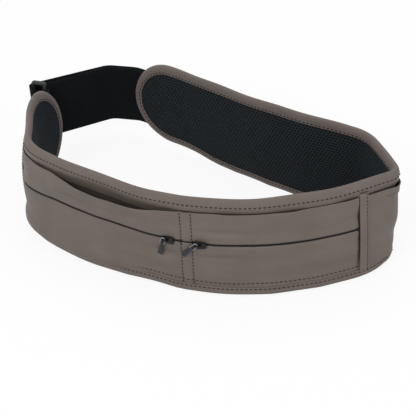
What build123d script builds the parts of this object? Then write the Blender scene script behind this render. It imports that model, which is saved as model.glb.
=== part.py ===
from build123d import *
import os
from math import asin, atan2, cos, pi, radians, sin, sqrt, tan

# A padded waist belt for travel money, standing closed on its lower edge.
# Frame: +X to the wearer's left seen from the front, +Y from the front to the back, +Z up.
# Places along the belt are given by s, the distance along the shell's outer face from the
# left tip, by d, the distance outwards from that face, and by the height z.

os.makedirs("parts", exist_ok=True)

# ---- Overall sizes ----
body_height = 90.0
waist_girth = 830.0          # closed length round the belt
drawn_girth = 830.0          # the girth that the plan's corners are drawn for

# ---- Layers of the body, from the shell inwards ----
shell_thickness = 0.6
foam_thickness = 3.0
lining_thickness = 2.6
layer_gap = 0.1
binding_tape = 0.7
binding_leg = 8.5
tip_radius = 40.0

# ---- Front pockets ----
pocket_fabric = 0.4
panel_thickness = 0.5
pocket_rest_gap = 0.25       # between the shell and the empty slip pocket's front wall
pocket_seam_gap = 0.3        # between the binding's edge and the pocket's lower edge
mouth_height = 76.5          # height of the pockets' hemmed top edge
mouth_gape = 8.0             # how far the left slip pocket's mouth stands open
gape_run = 138.0
gape_step = 9.2               # spacing of the sections that shape the open mouth
gape_from_divider = 6.0
gape_foot_above_zip = 9.0
divider_after_bend = 3.9
divider_width = 8.6
left_pocket_length = 176.0
right_pocket_length = 140.0
side_pocket_length = 150.0
trim_width = 8.0
trim_thickness = 0.6
facing_height = 3.4
facing_thickness = 0.4

# ---- Zips ----
zip_height = 48.0
slit_width = 1.4
tape_width = 8.0
tape_thickness = 0.35
coil_thickness = 0.8
coil_row_width = 1.3
coil_gap = 1.0
stop_length = 1.6
run_clearance = 0.2

# ---- Sliders and pulls ----
slider_length = 10.0
slider_width = 6.4
slider_plate = 1.0
slider_taper = 1.0           # how much narrower each side is behind
slider_corner = 0.5
slider_keel = 0.5            # thickness of the plate behind the coil
slider_post = 0.6            # web that joins the two plates through the slit
slider_post_length = 3.0
crown_post_radius = 0.6
crown_spacing = 3.8
crown_bridge = 0.7
crown_setback = 1.5          # from the slider's end to the first crown post
eye_wire = 0.9
eye_wire_rounding = 0.35
eye_width = 2.6
eye_length = 4.2
tab_length = 11.0
tab_thickness = 1.2
tab_top_width = 2.2
tab_end_width = 4.4
tab_end_rounding = 1.4
tab_sleeve_radius = 1.15
tab_sleeve_bore = 0.72
tab_side_clearance = 0.15
left_pull_angle = 15.0       # from straight down, towards the left
right_pull_angle = 45.0
left_slider_from_divider = 18.5
right_slider_from_divider = 7.5

# ---- Strap, ring and keeper ----
strap_width = 55.5
strap_thickness = 1.4
strap_foot = 16.5            # height of the strap's lower edge
strap_overlap = 45.0         # length sewn on the right end
strap_seat_gap = 0.1
strap_past_tip = 4.0         # where the strap starts to turn away from the tip's face
crest_from_tip = (-28.4, 9.6)
crest_radius = 12.0
tip_bend_radius = 20.0
patch_thickness = 0.8
patch_length = 42.0
patch_clearance = 0.3
patch_margin = 4.0
tail_lap = 20.0              # how far the tail reaches past the right tip
ring_bar = 3.4
ring_edge_radius = 1.2
ring_reach = 11.4            # between the centres of the ring's two bars
ring_side_clearance = 1.2
ring_beyond_tip = 6.3
ring_out_from_tip = 9.0
wrap_clearance = 1.0
main_end_setback = 4.5
keeper_shy = 2.75            # how far the keeper's edges lie inside the strap's
keeper_thickness = 1.2
keeper_clearance = 0.45
keeper_start = 26.0          # both counted from the left tip
keeper_bend = 5.0
keeper_bend_radius = 15.0

scale = waist_girth / drawn_girth

# Corner points of the shell's outer face seen from above, and the radius of each bend.
plan_corners = [
    (-133.6, 155.8, 0.0),     # left tip
    (-150.0, 111.7, 98.0),    # hook of the left wing
    (-146.5, 42.1, 48.0),     # left corner
    (-80.4, -13.9, 513.0),    # left half of the front
    (-21.2, -44.0, 50.0),     # bend beside the divider
    (54.0, -69.9, 192.5),     # right half of the front
    (150.6, -26.9, 10.0),     # folded right corner
    (135.7, 31.8, 38.0),      # bend behind the right corner
    (-56.2, 182.4, 0.0),      # right tip
]
left_bow, divider_bend, right_bow = 3, 4, 5   # places of these corners in the list


class Run:
    """One straight or round run of a plan line; a positive radius turns to the left."""

    def __init__(self, start, heading, length, radius=0.0):
        self.start = start
        self.heading = heading
        self.length = length
        self.radius = radius

    def heading_at(self, t):
        return self.heading + (t / self.radius if self.radius else 0.0)

    def centre(self):
        return self.start + self.radius * Vector(-sin(self.heading), cos(self.heading))

    def point(self, t, d=0.0):
        a = self.heading_at(t)
        right = Vector(sin(a), -cos(a))
        if self.radius:
            return self.centre() + (self.radius + d) * right
        return self.start + t * Vector(cos(a), sin(a)) + d * right


class PlanLine:
    """Straight runs joined by tangent arcs, seen from above; d is to the right of its travel."""

    def __init__(self, corners):
        self.corners = [Vector(x, y) for x, y, _ in corners]
        self.radii = [radius for _, _, radius in corners]
        self.runs = []
        start = self.corners[0]
        for i in range(1, len(corners) - 1):
            here, heading, turn = self.corners[i], self.heading_before(i), self.turn(i)
            cut = self.radii[i] * tan(abs(turn) / 2)
            bend_start = here - cut * Vector(cos(heading), sin(heading))
            self.runs.append(Run(start, heading, (bend_start - start).length))
            signed = self.radii[i] if turn > 0 else -self.radii[i]
            self.runs.append(Run(bend_start, heading, abs(signed * turn), signed))
            start = here + cut * Vector(cos(heading + turn), sin(heading + turn))
        last = self.heading_before(len(corners) - 1)
        self.runs.append(Run(start, last, (self.corners[-1] - start).length))

    def heading_before(self, i):
        step = self.corners[i] - self.corners[i - 1]
        return atan2(step.Y, step.X)

    def turn(self, i):
        return (self.heading_before(i + 1) - self.heading_before(i) + pi) % (2 * pi) - pi

    def bend(self, i):
        """The round run at the corner i."""
        return self.runs[2 * i - 1]

    def bend_start(self, i):
        return sum(run.length for run in self.runs[:2 * i - 1])

    @property
    def length(self):
        return sum(run.length for run in self.runs)

    def find(self, s):
        for run in self.runs[:-1]:
            if s < run.length:
                return run, s
            s -= run.length
        return self.runs[-1], s

    def point(self, s, d=0.0):
        run, t = self.find(s)
        return run.point(t, d)

    def heading(self, s):
        run, t = self.find(s)
        return run.heading_at(t)

    def moved_corner(self, i, d):
        """The corner i and its bend's radius on the line that runs beside this one at d."""
        half = self.turn(i) / 2
        a = self.heading_before(i) + half
        corner = self.corners[i] + d / cos(half) * Vector(sin(a), -cos(a))
        return corner.X, corner.Y, self.radii[i] + (d if self.turn(i) > 0 else -d)

    def trace(self, s0, s1, d):
        """Draws the line between s0 and s1, at the offset d, in the open line builder."""
        at = 0.0
        for run in self.runs:
            t0 = max(s0 - at, 0.0)
            t1 = min(s1 - at, run.length)
            at += run.length
            if t1 - t0 < 1e-6:
                continue
            if run.radius:
                ThreePointArc(run.point(t0, d), run.point((t0 + t1) / 2, d), run.point(t1, d))
            else:
                Line(run.point(t0, d), run.point(t1, d))


def band_outline(line, s0, s1, d0, d1):
    """Adds the plan of a band to the open sketch."""
    with BuildLine() as edge:
        line.trace(s0, s1, d0)
        line.trace(s0, s1, d1)
        Line(line.point(s0, d0), line.point(s0, d1))
        Line(line.point(s1, d0), line.point(s1, d1))
    make_face(edge.line.edges())


def ring_outline(centre, inner, outer, start, sweep):
    """Adds a round strip to the open sketch, from the angle start through sweep."""
    def at(radius, share):
        a = start + share * sweep
        return centre + radius * Vector(cos(a), sin(a))

    with BuildLine() as edge:
        for radius in (inner, outer):
            ThreePointArc(at(radius, 0), at(radius, 0.5), at(radius, 1))
        Line(at(inner, 0), at(outer, 0))
        Line(at(inner, 1), at(outer, 1))
    make_face(edge.line.edges())


# ---- The body's plan line and the places along it ----
belt = PlanLine([(x * scale, y * scale, radius) for x, y, radius in plan_corners])
divider = belt.bend_start(divider_bend) + belt.bend(divider_bend).length / 2 + divider_after_bend
pockets_start = divider - left_pocket_length
pockets_end = divider + right_pocket_length
gape_end = divider - gape_from_divider
gape_start = gape_end - gape_run
gape_foot = zip_height + gape_foot_above_zip
side_pocket_end = pockets_end + side_pocket_length
half_trim = trim_width / 2
half_divider = divider_width / 2

# ---- Offsets of the layers from the shell's outer face ----
foam_face = -shell_thickness - layer_gap
lining_face = foam_face - foam_thickness - layer_gap
body_back = lining_face - lining_thickness
binding_face = layer_gap + binding_tape
pocket_face = pocket_rest_gap + pocket_fabric
keel_face = pocket_face + run_clearance
coil_face = keel_face + slider_keel + run_clearance
tape_face = coil_face + coil_thickness + layer_gap
panel_face = tape_face + tape_thickness + layer_gap
front_face = panel_face + panel_thickness
side_face = pocket_rest_gap + panel_thickness
plate_face = front_face + run_clearance
wire_centre = plate_face + slider_plate + run_clearance + eye_wire / 2
bridge_face = wire_centre + eye_wire / 2 + run_clearance
pocket_foot = binding_leg + pocket_seam_gap

# ---- The ring's two bars and the strap's lines, from the two tips ----
wing_heading = belt.heading(0) + pi
wing_along = Vector(cos(wing_heading), sin(wing_heading))
wing_out = Vector(-sin(wing_heading), cos(wing_heading))
keeper_bar = belt.point(0) + ring_beyond_tip * wing_along + ring_out_from_tip * wing_out
strap_bar = keeper_bar + ring_reach * wing_out
wrap_radius = ring_bar / 2 + wrap_clearance
strap_head = strap_foot + strap_width
strap_middle = strap_foot + strap_width / 2
strap_face = binding_face + strap_seat_gap
tail_seat = strap_thickness + 2 * patch_thickness + patch_clearance


def tangent_foot(start, centre, radius, side):
    """Where a line from start touches a circle; side is 1 to leave the circle on the right."""
    gap = centre - start
    heading = atan2(gap.Y, gap.X) + side * asin(radius / gap.length)
    return start + sqrt(gap.length ** 2 - radius ** 2) * Vector(cos(heading), sin(heading))


sewn_start = belt.point(belt.length - strap_overlap, strap_face)
sewn_end = belt.point(belt.length + strap_past_tip, strap_face)
crest = belt.point(belt.length, strap_face) + Vector(*crest_from_tip)
main_foot = tangent_foot(crest, strap_bar, wrap_radius + strap_thickness, 1)
strap = PlanLine([
    (sewn_start.X, sewn_start.Y, 0.0),
    (sewn_end.X, sewn_end.Y, tip_bend_radius),
    (crest.X, crest.Y, crest_radius),
    (main_foot.X, main_foot.Y, 0.0),
])
tail_start = strap.point(strap_overlap - tail_lap, tail_seat)
tail_crest_x, tail_crest_y, tail_crest_radius = strap.moved_corner(2, tail_seat)
tail_foot = tangent_foot(Vector(tail_crest_x, tail_crest_y), strap_bar, wrap_radius, -1)
tail = PlanLine([
    (tail_start.X, tail_start.Y, 0.0),
    strap.moved_corner(1, tail_seat),
    (tail_crest_x, tail_crest_y, tail_crest_radius),
    (tail_foot.X, tail_foot.Y, 0.0),
])
wrap_start = atan2(main_foot.Y - strap_bar.Y, main_foot.X - strap_bar.X)
wrap_end = atan2(tail_foot.Y - strap_bar.Y, tail_foot.X - strap_bar.X)
wrap_sweep = (wrap_end - wrap_start) % (2 * pi) - 2 * pi

# ---- The middle of the whole belt's box, seen from above, is the frame's origin ----
with BuildSketch() as footprint:
    band_outline(belt, 0, belt.length, body_back - binding_face, binding_face)
    band_outline(belt, pockets_start, pockets_end, 0, front_face)
    band_outline(belt, pockets_end, side_pocket_end, 0, side_face)
    band_outline(tail, 0, tail.length, 0, strap_thickness)
    ring_outline(strap_bar, wrap_radius, wrap_radius + strap_thickness, wrap_start, wrap_sweep)
middle = footprint.sketch.bounding_box().center()


def level(z):
    """The plane at the height z, with the origin at the belt's middle."""
    return Plane(origin=(-middle.X, -middle.Y, z))


def face_plane(line, s, z):
    """The upright plane that touches the line at s: x along it, y up, z outwards."""
    place = line.point(s) - middle
    a = line.heading(s)
    return Plane(origin=(place.X, place.Y, z), x_dir=(cos(a), sin(a), 0), z_dir=(sin(a), -cos(a), 0))


def band(line, s0, s1, d0, d1, z0, z1, mode=Mode.ADD):
    """Adds an upright band of even thickness, along a plan line, to the open part."""
    with BuildSketch(level(z0)) as outline:
        band_outline(line, s0, s1, d0, d1)
    extrude(outline.sketch, amount=z1 - z0, mode=mode)


def round_tips(inset):
    """Rounds the corners of the open part's two tips, for a layer inset from the body's edge."""
    radius = tip_radius - inset
    reach = 2 * binding_leg
    for s_end, side in ((0.0, -1), (belt.length, 1)):
        for z_edge, up in ((0.0, -1), (body_height, 1)):
            x_end, y_end = -side * inset, -up * inset
            x_out, y_out = side * binding_leg, up * binding_leg
            x_in, y_in = x_end - side * radius, y_end - up * radius
            bow = radius * cos(pi / 4)
            with BuildSketch(face_plane(belt, s_end, z_edge)) as corner:
                with BuildLine() as edge:
                    Polyline((x_end, y_in), (x_out, y_in), (x_out, y_out), (x_in, y_out), (x_in, y_end))
                    ThreePointArc((x_in, y_end), (x_in + side * bow, y_in + up * bow), (x_end, y_in))
                make_face()
            extrude(corner.sketch, amount=reach, both=True, mode=Mode.SUBTRACT)


def body_layer(d0, d1, inset):
    """Adds one layer of the body, from tip to tip, to the open part."""
    band(belt, inset, belt.length - inset, d0, d1, inset, body_height - inset)
    round_tips(inset)


def gaping_section(s, d, thickness):
    """The section at s of the leaning upper part of a pocket wall whose mouth stands open."""
    lean = mouth_gape * sin(pi * (s - gape_start) / gape_run) ** 2
    upright = face_plane(belt, s, 0)
    across = Plane(origin=upright.origin, x_dir=upright.z_dir, z_dir=-upright.x_dir)
    with BuildSketch(across) as section:
        with BuildLine():
            Polyline(
                (d, gape_foot),
                (d + lean, mouth_height),
                (d + lean + thickness, mouth_height),
                (d + thickness, gape_foot),
                close=True,
            )
        make_face()
    return section.sketch.face()


def pocket_wall(d, thickness, foot):
    """Adds a wall along both front pockets up to their mouths; the left mouth gapes."""
    band(belt, pockets_start, gape_start, d, d + thickness, foot, mouth_height)
    band(belt, gape_start, gape_end, d, d + thickness, foot, gape_foot)
    band(belt, gape_end, pockets_end, d, d + thickness, foot, mouth_height)
    steps = round(gape_run / gape_step)
    stations = [gape_start + gape_run * i / steps for i in range(steps + 1)]
    loft([gaping_section(s, d, thickness) for s in stations], ruled=True)


def finish(builder, name):
    """Labels a finished piece and writes its file."""
    builder.part.label = name
    export_step(builder.part, f"parts/{name}.step")


# ---- Body ----
layer_inset = binding_face

with BuildPart() as outer_shell:
    body_layer(-shell_thickness, 0, layer_inset)
finish(outer_shell, "outer_shell")

with BuildPart() as foam_core:
    body_layer(foam_face - foam_thickness, foam_face, layer_inset)
finish(foam_core, "foam_core")

with BuildPart() as mesh_lining:
    body_layer(body_back, lining_face, layer_inset)
finish(mesh_lining, "mesh_lining")

with BuildPart() as binding_room:
    body_layer(body_back - layer_gap, layer_gap, binding_tape)

with BuildPart() as binding_window:
    body_layer(body_back - 2 * binding_face, 2 * binding_face, binding_leg)

with BuildPart() as edge_binding:
    body_layer(body_back - binding_face, binding_face, 0)
    add(binding_room.part, mode=Mode.SUBTRACT)
    add(binding_window.part, mode=Mode.SUBTRACT)
finish(edge_binding, "edge_binding")

facing_head = body_height - binding_leg - layer_gap
with BuildPart() as mouth_facing:
    band(
        belt, pockets_start - half_trim, side_pocket_end + half_trim,
        layer_gap, layer_gap + facing_thickness, facing_head - facing_height, facing_head,
    )
finish(mouth_facing, "mouth_facing")

# ---- Front pockets ----
with BuildPart() as pocket_lining:
    pocket_wall(pocket_rest_gap, pocket_fabric, pocket_foot)
finish(pocket_lining, "pocket_lining")

slit_head = zip_height + slit_width / 2
slit_foot = zip_height - slit_width / 2
with BuildPart() as front_upper_panel:
    pocket_wall(panel_face, panel_thickness, slit_head)
finish(front_upper_panel, "front_upper_panel")

with BuildPart() as front_lower_panel:
    band(belt, pockets_start, pockets_end, panel_face, front_face, pocket_foot, slit_foot)
finish(front_lower_panel, "front_lower_panel")

with BuildPart() as side_pocket_panel:
    band(
        belt, pockets_end + layer_gap, side_pocket_end,
        pocket_rest_gap, side_face, pocket_foot, mouth_height,
    )
finish(side_pocket_panel, "side_pocket_panel")

trim_face = front_face + layer_gap
side_trim_face = side_face + layer_gap

with BuildPart() as left_trim:
    band(
        belt, pockets_start - half_trim, pockets_start + half_trim,
        trim_face, trim_face + trim_thickness, pocket_foot, mouth_height,
    )
    band(
        belt, pockets_start - half_trim, pockets_start - layer_gap,
        layer_gap, trim_face, pocket_foot, mouth_height,
    )
finish(left_trim, "left_trim")

with BuildPart() as right_trim:
    band(
        belt, pockets_end - half_trim, pockets_end + half_trim,
        trim_face, trim_face + trim_thickness, pocket_foot, mouth_height,
    )
    band(
        belt, pockets_end + layer_gap, pockets_end + half_trim,
        side_trim_face, trim_face, pocket_foot, mouth_height,
    )
finish(right_trim, "right_trim")

with BuildPart() as rear_trim:
    band(
        belt, side_pocket_end - half_trim, side_pocket_end + half_trim,
        side_trim_face, side_trim_face + trim_thickness, pocket_foot, mouth_height,
    )
    band(
        belt, side_pocket_end + layer_gap, side_pocket_end + half_trim,
        layer_gap, side_trim_face, pocket_foot, mouth_height,
    )
finish(rear_trim, "rear_trim")

# ---- Zips ----
zip_ends = {
    "left": (pockets_start + half_trim, divider - half_divider),
    "right": (divider + half_divider, pockets_end - half_trim),
}
coil_edge = coil_gap / 2 + coil_row_width

for side, (s0, s1) in zip_ends.items():
    with BuildPart() as tape_upper:
        band(belt, s0, s1, tape_face, tape_face + tape_thickness, slit_head, slit_head + tape_width)
    finish(tape_upper, f"{side}_zip_tape_upper")

    with BuildPart() as tape_lower:
        band(belt, s0, s1, tape_face, tape_face + tape_thickness, slit_foot - tape_width, slit_foot)
    finish(tape_lower, f"{side}_zip_tape_lower")

    coil_s0 = s0 + stop_length + layer_gap
    coil_s1 = s1 - stop_length - layer_gap
    with BuildPart() as coil:
        for row_foot in (zip_height - coil_edge, zip_height + coil_gap / 2):
            band(
                belt, coil_s0, coil_s1, coil_face, coil_face + coil_thickness,
                row_foot, row_foot + coil_row_width,
            )
    finish(coil, f"{side}_zip_coil")

    with BuildPart() as stops:
        for stop_s in (s0, s1 - stop_length):
            band(
                belt, stop_s, stop_s + stop_length, coil_face, coil_face + coil_thickness,
                zip_height - coil_edge, zip_height + coil_edge,
            )
    finish(stops, f"{side}_zip_stops")


# ---- Sliders and pulls ----
def slider_outline(width, wide_end):
    """Adds a slider plate's outline to the open sketch: wide at its nose, narrower behind."""
    half = slider_length / 2
    nose, back = width / 2, width / 2 - slider_taper
    with BuildLine() as edge:
        Polyline(
            (-wide_end * half, -back),
            (0, -nose),
            (wide_end * half, -nose),
            (wide_end * half, nose),
            (0, nose),
            (-wide_end * half, back),
            close=True,
        )
    make_face(edge.line.edges())


def slider_plane(post_s):
    """The plane at the middle of the slider whose first crown post is at post_s."""
    return face_plane(belt, post_s - crown_setback + slider_length / 2, zip_height)


def build_slider(name, post_s, wide_end):
    """Builds the slider: two plates, the web between them and the crown over the front plate."""
    plane = slider_plane(post_s)
    post_x = crown_setback - slider_length / 2
    web_x = wide_end * (slider_length / 2 - slider_post_length)
    with BuildPart() as slider:
        with BuildSketch(plane.offset(plate_face)) as plate:
            slider_outline(slider_width, wide_end)
            fillet(plate.vertices(), slider_corner)
        extrude(amount=slider_plate)
        with BuildSketch(plane.offset(keel_face)) as keel:
            slider_outline(slider_width - 2 * slider_corner, wide_end)
        extrude(amount=slider_keel)
        with BuildSketch(plane.offset(keel_face)):
            with Locations((web_x, 0)):
                Rectangle(slider_post_length, slider_post)
        extrude(amount=plate_face - keel_face + slider_plate)
        with BuildSketch(plane.offset(plate_face)):
            with Locations((post_x, 0), (post_x + crown_spacing, 0)):
                Circle(crown_post_radius)
        extrude(amount=bridge_face - plate_face)
        with BuildSketch(plane.offset(bridge_face)):
            with Locations((post_x + crown_spacing / 2, 0)):
                SlotCenterToCenter(crown_spacing, 2 * crown_post_radius)
        extrude(amount=crown_bridge)
    finish(slider, name)


def pull_plane(post_s, angle):
    """The plane of a pull that hangs from a crown post: its y points back up the pull."""
    plane = slider_plane(post_s).offset(wire_centre)
    post_x = crown_setback - slider_length / 2
    turn = radians(angle)
    x_dir = cos(turn) * plane.x_dir - sin(turn) * plane.y_dir
    return Plane(origin=plane.from_local_coords((post_x, 0, 0)), x_dir=x_dir, z_dir=plane.z_dir)


def build_eye(name, plane):
    """Builds the wire eye that hangs on the crown post."""
    inner = eye_width / 2
    outer = inner + eye_wire
    with BuildPart() as eye:
        with BuildSketch(plane):
            Circle(outer)
            with Locations((0, -(eye_length + eye_wire / 2) / 2)):
                Rectangle(2 * outer, eye_length + eye_wire / 2)
            Circle(inner, mode=Mode.SUBTRACT)
            with Locations((0, -(eye_length - eye_wire / 2) / 2)):
                Rectangle(2 * inner, eye_length - eye_wire / 2, mode=Mode.SUBTRACT)
        extrude(amount=eye_wire / 2, both=True)
        flats = eye.faces().filter_by(Axis(plane.origin, plane.z_dir))
        fillet(flats.edges(), eye_wire_rounding)
    finish(eye, name)


def build_tab(name, plane):
    """Builds the pull tab, with the sleeve that turns on the eye's lower bar."""
    across = Plane(
        origin=plane.from_local_coords((0, -eye_length, 0)), x_dir=plane.y_dir, z_dir=plane.x_dir
    )
    sleeve_length = eye_width - 2 * tab_side_clearance
    with BuildPart() as tab:
        with BuildSketch(across):
            Circle(tab_sleeve_radius)
        extrude(amount=sleeve_length / 2, both=True)
        with BuildSketch(plane) as blade:
            with BuildLine():
                Polyline(
                    (-tab_top_width / 2, -eye_length),
                    (tab_top_width / 2, -eye_length),
                    (tab_end_width / 2, -eye_length - tab_length),
                    (-tab_end_width / 2, -eye_length - tab_length),
                    close=True,
                )
            make_face()
            fillet(blade.vertices().sort_by(Axis.Y)[:2], tab_end_rounding)
        extrude(amount=tab_thickness / 2, both=True)
        with BuildSketch(across):
            Circle(tab_sleeve_bore)
        extrude(amount=eye_width, both=True, mode=Mode.SUBTRACT)
    finish(tab, name)


sliders = {
    "left": (divider - left_slider_from_divider, left_pull_angle, 1),
    "right": (divider + right_slider_from_divider, right_pull_angle, -1),
}
for side, (post_s, angle, wide_end) in sliders.items():
    build_slider(f"{side}_slider", post_s, wide_end)
    build_eye(f"{side}_pull_eye", pull_plane(post_s, angle))
    build_tab(f"{side}_pull_tab", pull_plane(post_s, angle))

# ---- Strap, ring and keeper ----
with BuildPart() as strap_main:
    band(strap, 0, strap.length - main_end_setback, 0, strap_thickness, strap_foot, strap_head)
finish(strap_main, "strap_main")

with BuildPart() as strap_tail:
    band(tail, 0, tail.length, 0, strap_thickness, strap_foot, strap_head)
    with BuildSketch(level(strap_foot)) as wrap:
        ring_outline(strap_bar, wrap_radius, wrap_radius + strap_thickness, wrap_start, wrap_sweep)
    extrude(wrap.sketch, amount=strap_width)
finish(strap_tail, "strap_tail")

patch_start = strap_overlap - tail_lap + patch_margin
patch_foot = strap_foot + patch_margin
patch_head = strap_head - patch_margin
with BuildPart() as loop_patch:
    band(
        strap, patch_start, patch_start + patch_length,
        strap_thickness, strap_thickness + patch_thickness, patch_foot, patch_head,
    )
finish(loop_patch, "loop_patch")

with BuildPart() as hook_patch:
    band(
        strap, patch_start, patch_start + patch_length,
        tail_seat - patch_thickness, tail_seat, patch_foot, patch_head,
    )
finish(hook_patch, "hook_patch")

ring_window = strap_width + 2 * ring_side_clearance
ring_plane = Plane(
    origin=(keeper_bar.X - middle.X, keeper_bar.Y - middle.Y, strap_middle),
    x_dir=(wing_out.X, wing_out.Y, 0),
    z_dir=(wing_out.Y, -wing_out.X, 0),
)
with BuildPart() as strap_ring:
    with BuildSketch(ring_plane):
        with Locations((ring_reach / 2, 0)):
            RectangleRounded(ring_reach + ring_bar, ring_window + 2 * ring_bar, ring_bar)
            Rectangle(ring_reach - ring_bar, ring_window, mode=Mode.SUBTRACT)
    extrude(amount=ring_bar / 2, both=True)
    ring_flats = strap_ring.faces().filter_by(Axis(ring_plane.origin, ring_plane.z_dir))
    fillet(ring_flats.edges(), ring_edge_radius)
finish(strap_ring, "strap_ring")

keeper_line = PlanLine([
    (*tuple(belt.point(keeper_start, strap_face))[:2], 0.0),
    (*tuple(belt.point(keeper_bend, strap_face))[:2], keeper_bend_radius),
    (keeper_bar.X, keeper_bar.Y, 0.0),
])
keeper_bore = ring_bar / 2 + keeper_clearance
with BuildPart() as ring_keeper:
    with BuildSketch(level(strap_foot + keeper_shy)) as keeper_plan:
        band_outline(keeper_line, 0, keeper_line.length, -keeper_thickness, 0)
        with Locations((keeper_bar.X, keeper_bar.Y)):
            Circle(keeper_bore + keeper_thickness)
            Circle(keeper_bore, mode=Mode.SUBTRACT)
    extrude(amount=strap_width - 2 * keeper_shy)
finish(ring_keeper, "ring_keeper")
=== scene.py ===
"""A padded waist belt for travel money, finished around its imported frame.

A spot on the belt is (s, z, d) in millimetres: s along the outer face from the left tip, z up from
the lower edge and d outwards. Belt.place turns such spots into the frame's metres.
"""
import logging
from collections.abc import Sequence
from dataclasses import dataclass, field
from enum import Enum
from math import atan2, cos, hypot, pi, radians, sin, tan

import bpy
import numpy as np
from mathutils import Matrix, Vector, noise


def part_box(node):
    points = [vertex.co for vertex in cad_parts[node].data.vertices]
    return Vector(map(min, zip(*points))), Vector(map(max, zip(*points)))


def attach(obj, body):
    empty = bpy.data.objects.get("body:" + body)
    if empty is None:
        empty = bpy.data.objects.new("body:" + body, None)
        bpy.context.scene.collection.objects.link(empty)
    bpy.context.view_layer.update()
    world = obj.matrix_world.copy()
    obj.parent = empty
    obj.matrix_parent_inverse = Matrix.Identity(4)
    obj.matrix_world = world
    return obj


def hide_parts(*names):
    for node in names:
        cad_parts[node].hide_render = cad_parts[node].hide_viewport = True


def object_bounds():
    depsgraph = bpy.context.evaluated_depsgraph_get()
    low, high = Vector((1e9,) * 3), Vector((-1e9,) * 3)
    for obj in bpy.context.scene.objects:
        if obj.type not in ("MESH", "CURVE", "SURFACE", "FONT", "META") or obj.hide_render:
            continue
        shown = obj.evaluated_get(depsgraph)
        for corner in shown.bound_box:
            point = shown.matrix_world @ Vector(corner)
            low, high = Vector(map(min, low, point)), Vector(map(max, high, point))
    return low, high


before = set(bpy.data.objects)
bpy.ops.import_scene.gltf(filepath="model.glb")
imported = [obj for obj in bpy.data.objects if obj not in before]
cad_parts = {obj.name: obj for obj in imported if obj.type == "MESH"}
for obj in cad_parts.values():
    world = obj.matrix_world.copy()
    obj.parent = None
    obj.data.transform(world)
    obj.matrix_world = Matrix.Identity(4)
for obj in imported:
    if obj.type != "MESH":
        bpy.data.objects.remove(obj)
CAD_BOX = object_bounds()
MM = 0.001
LOG = logging.getLogger("money_belt")


# ---- Colours, nodes and finishes ----
def linear(hex_colour: str, alpha: float = 1.0) -> tuple[float, float, float, float]:
    """Turns an sRGB hex value into a linear colour.

    Args:
        hex_colour: Six hex digits, such as "766B63".
        alpha: The fourth value.

    Returns:
        Red, green, blue and alpha.
    """
    def channel(i: int) -> float:
        v = int(hex_colour[i:i + 2], 16) / 255
        return v / 12.92 if v <= 0.04045 else ((v + 0.055) / 1.055) ** 2.4

    return channel(0), channel(2), channel(4), alpha


def add_node(tree: bpy.types.NodeTree, kind: str, inputs: dict | None = None,
             **settings: object) -> bpy.types.Node:
    """Adds a node with its settings and links.

    Args:
        tree: The material's node tree.
        kind: The node's type, without its ShaderNode prefix.
        inputs: For each input's name or number, its value or the socket it is linked to.
        **settings: Attributes of the node.

    Returns:
        The node.
    """
    node = tree.nodes.new("ShaderNode" + kind)
    for key, value in settings.items():
        setattr(node, key, value)
    for key, value in (inputs or {}).items():
        if isinstance(value, bpy.types.NodeSocket):
            tree.links.new(value, node.inputs[key])
        else:
            node.inputs[key].default_value = value
    return node


def maths(tree: bpy.types.NodeTree, operation: str, *values: object) -> bpy.types.NodeSocket:
    """Adds a maths node and returns its result.

    Args:
        tree: The material's node tree.
        operation: The node's operation.
        *values: Numbers or sockets.

    Returns:
        The result's socket.
    """
    return add_node(tree, "Math", dict(enumerate(values)), operation=operation).outputs[0]


@dataclass(frozen=True)
class Finish:
    """What every finish shares: its name, colour and shader values."""

    name: str
    colour: str
    shade: str
    roughness: float = 0.7
    metallic: float = 0.0
    sheen: float = 0.0
    specular: float = 0.3
    bump_mm: float = 0.1
    pitch_mm: float = 1.0

    def pattern(self, tree: bpy.types.NodeTree, spot: bpy.types.NodeSocket) -> bpy.types.NodeSocket:
        """Returns the relief of the surface, from 0 to 1; here a fine grain."""
        scale = 1 / self.pitch_mm
        return add_node(tree, "TexNoise", {"Vector": spot, "Scale": scale, "Detail": 3.0}).outputs[0]

    def tint(self, tree: bpy.types.NodeTree, spot: bpy.types.NodeSocket,
             relief: bpy.types.NodeSocket) -> bpy.types.NodeSocket:
        """Returns how much of the shade shows, from 0 to 1.

        Args:
            tree: The material's node tree.
            spot: The surface's own coordinates, in millimetres.
            relief: The pattern's socket.

        Returns:
            The share's socket.
        """
        clouds = add_node(tree, "TexNoise", {"Vector": spot, "Scale": 0.04, "Detail": 2.0})
        return maths(tree, "MULTIPLY", clouds.outputs[0], maths(tree, "SUBTRACT", 1.2, relief))

    def make(self) -> bpy.types.Material:
        """Builds the material once, and returns it."""
        if self.name in bpy.data.materials:
            return bpy.data.materials[self.name]
        material = bpy.data.materials.new(self.name)
        material.use_nodes = True
        tree = material.node_tree
        shader = tree.nodes["Principled BSDF"]
        spot = self.coordinates(tree)
        relief = self.pattern(tree, spot)
        mix = add_node(tree, "Mix", {0: self.tint(tree, spot, relief), 6: linear(self.colour),
                                     7: linear(self.shade)}, data_type="RGBA")
        bump = add_node(tree, "Bump", {"Strength": 1.0, "Distance": self.bump_mm * MM,
                                       "Height": relief})
        tree.links.new(mix.outputs[2], shader.inputs["Base Color"])
        tree.links.new(bump.outputs[0], shader.inputs["Normal"])
        shader.inputs["Roughness"].default_value = self.roughness
        shader.inputs["Metallic"].default_value = self.metallic
        shader.inputs["Sheen Weight"].default_value = self.sheen
        shader.inputs["Sheen Roughness"].default_value = 0.4
        shader.inputs["Specular IOR Level"].default_value = self.specular
        return material

    def coordinates(self, tree: bpy.types.NodeTree) -> bpy.types.NodeSocket:
        """Returns the place on the surface, in millimetres, from the object's own space."""
        place = add_node(tree, "TexCoord").outputs["Object"]
        return add_node(tree, "VectorMath", {0: place, 3: 1 / MM}, operation="SCALE").outputs[0]


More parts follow.
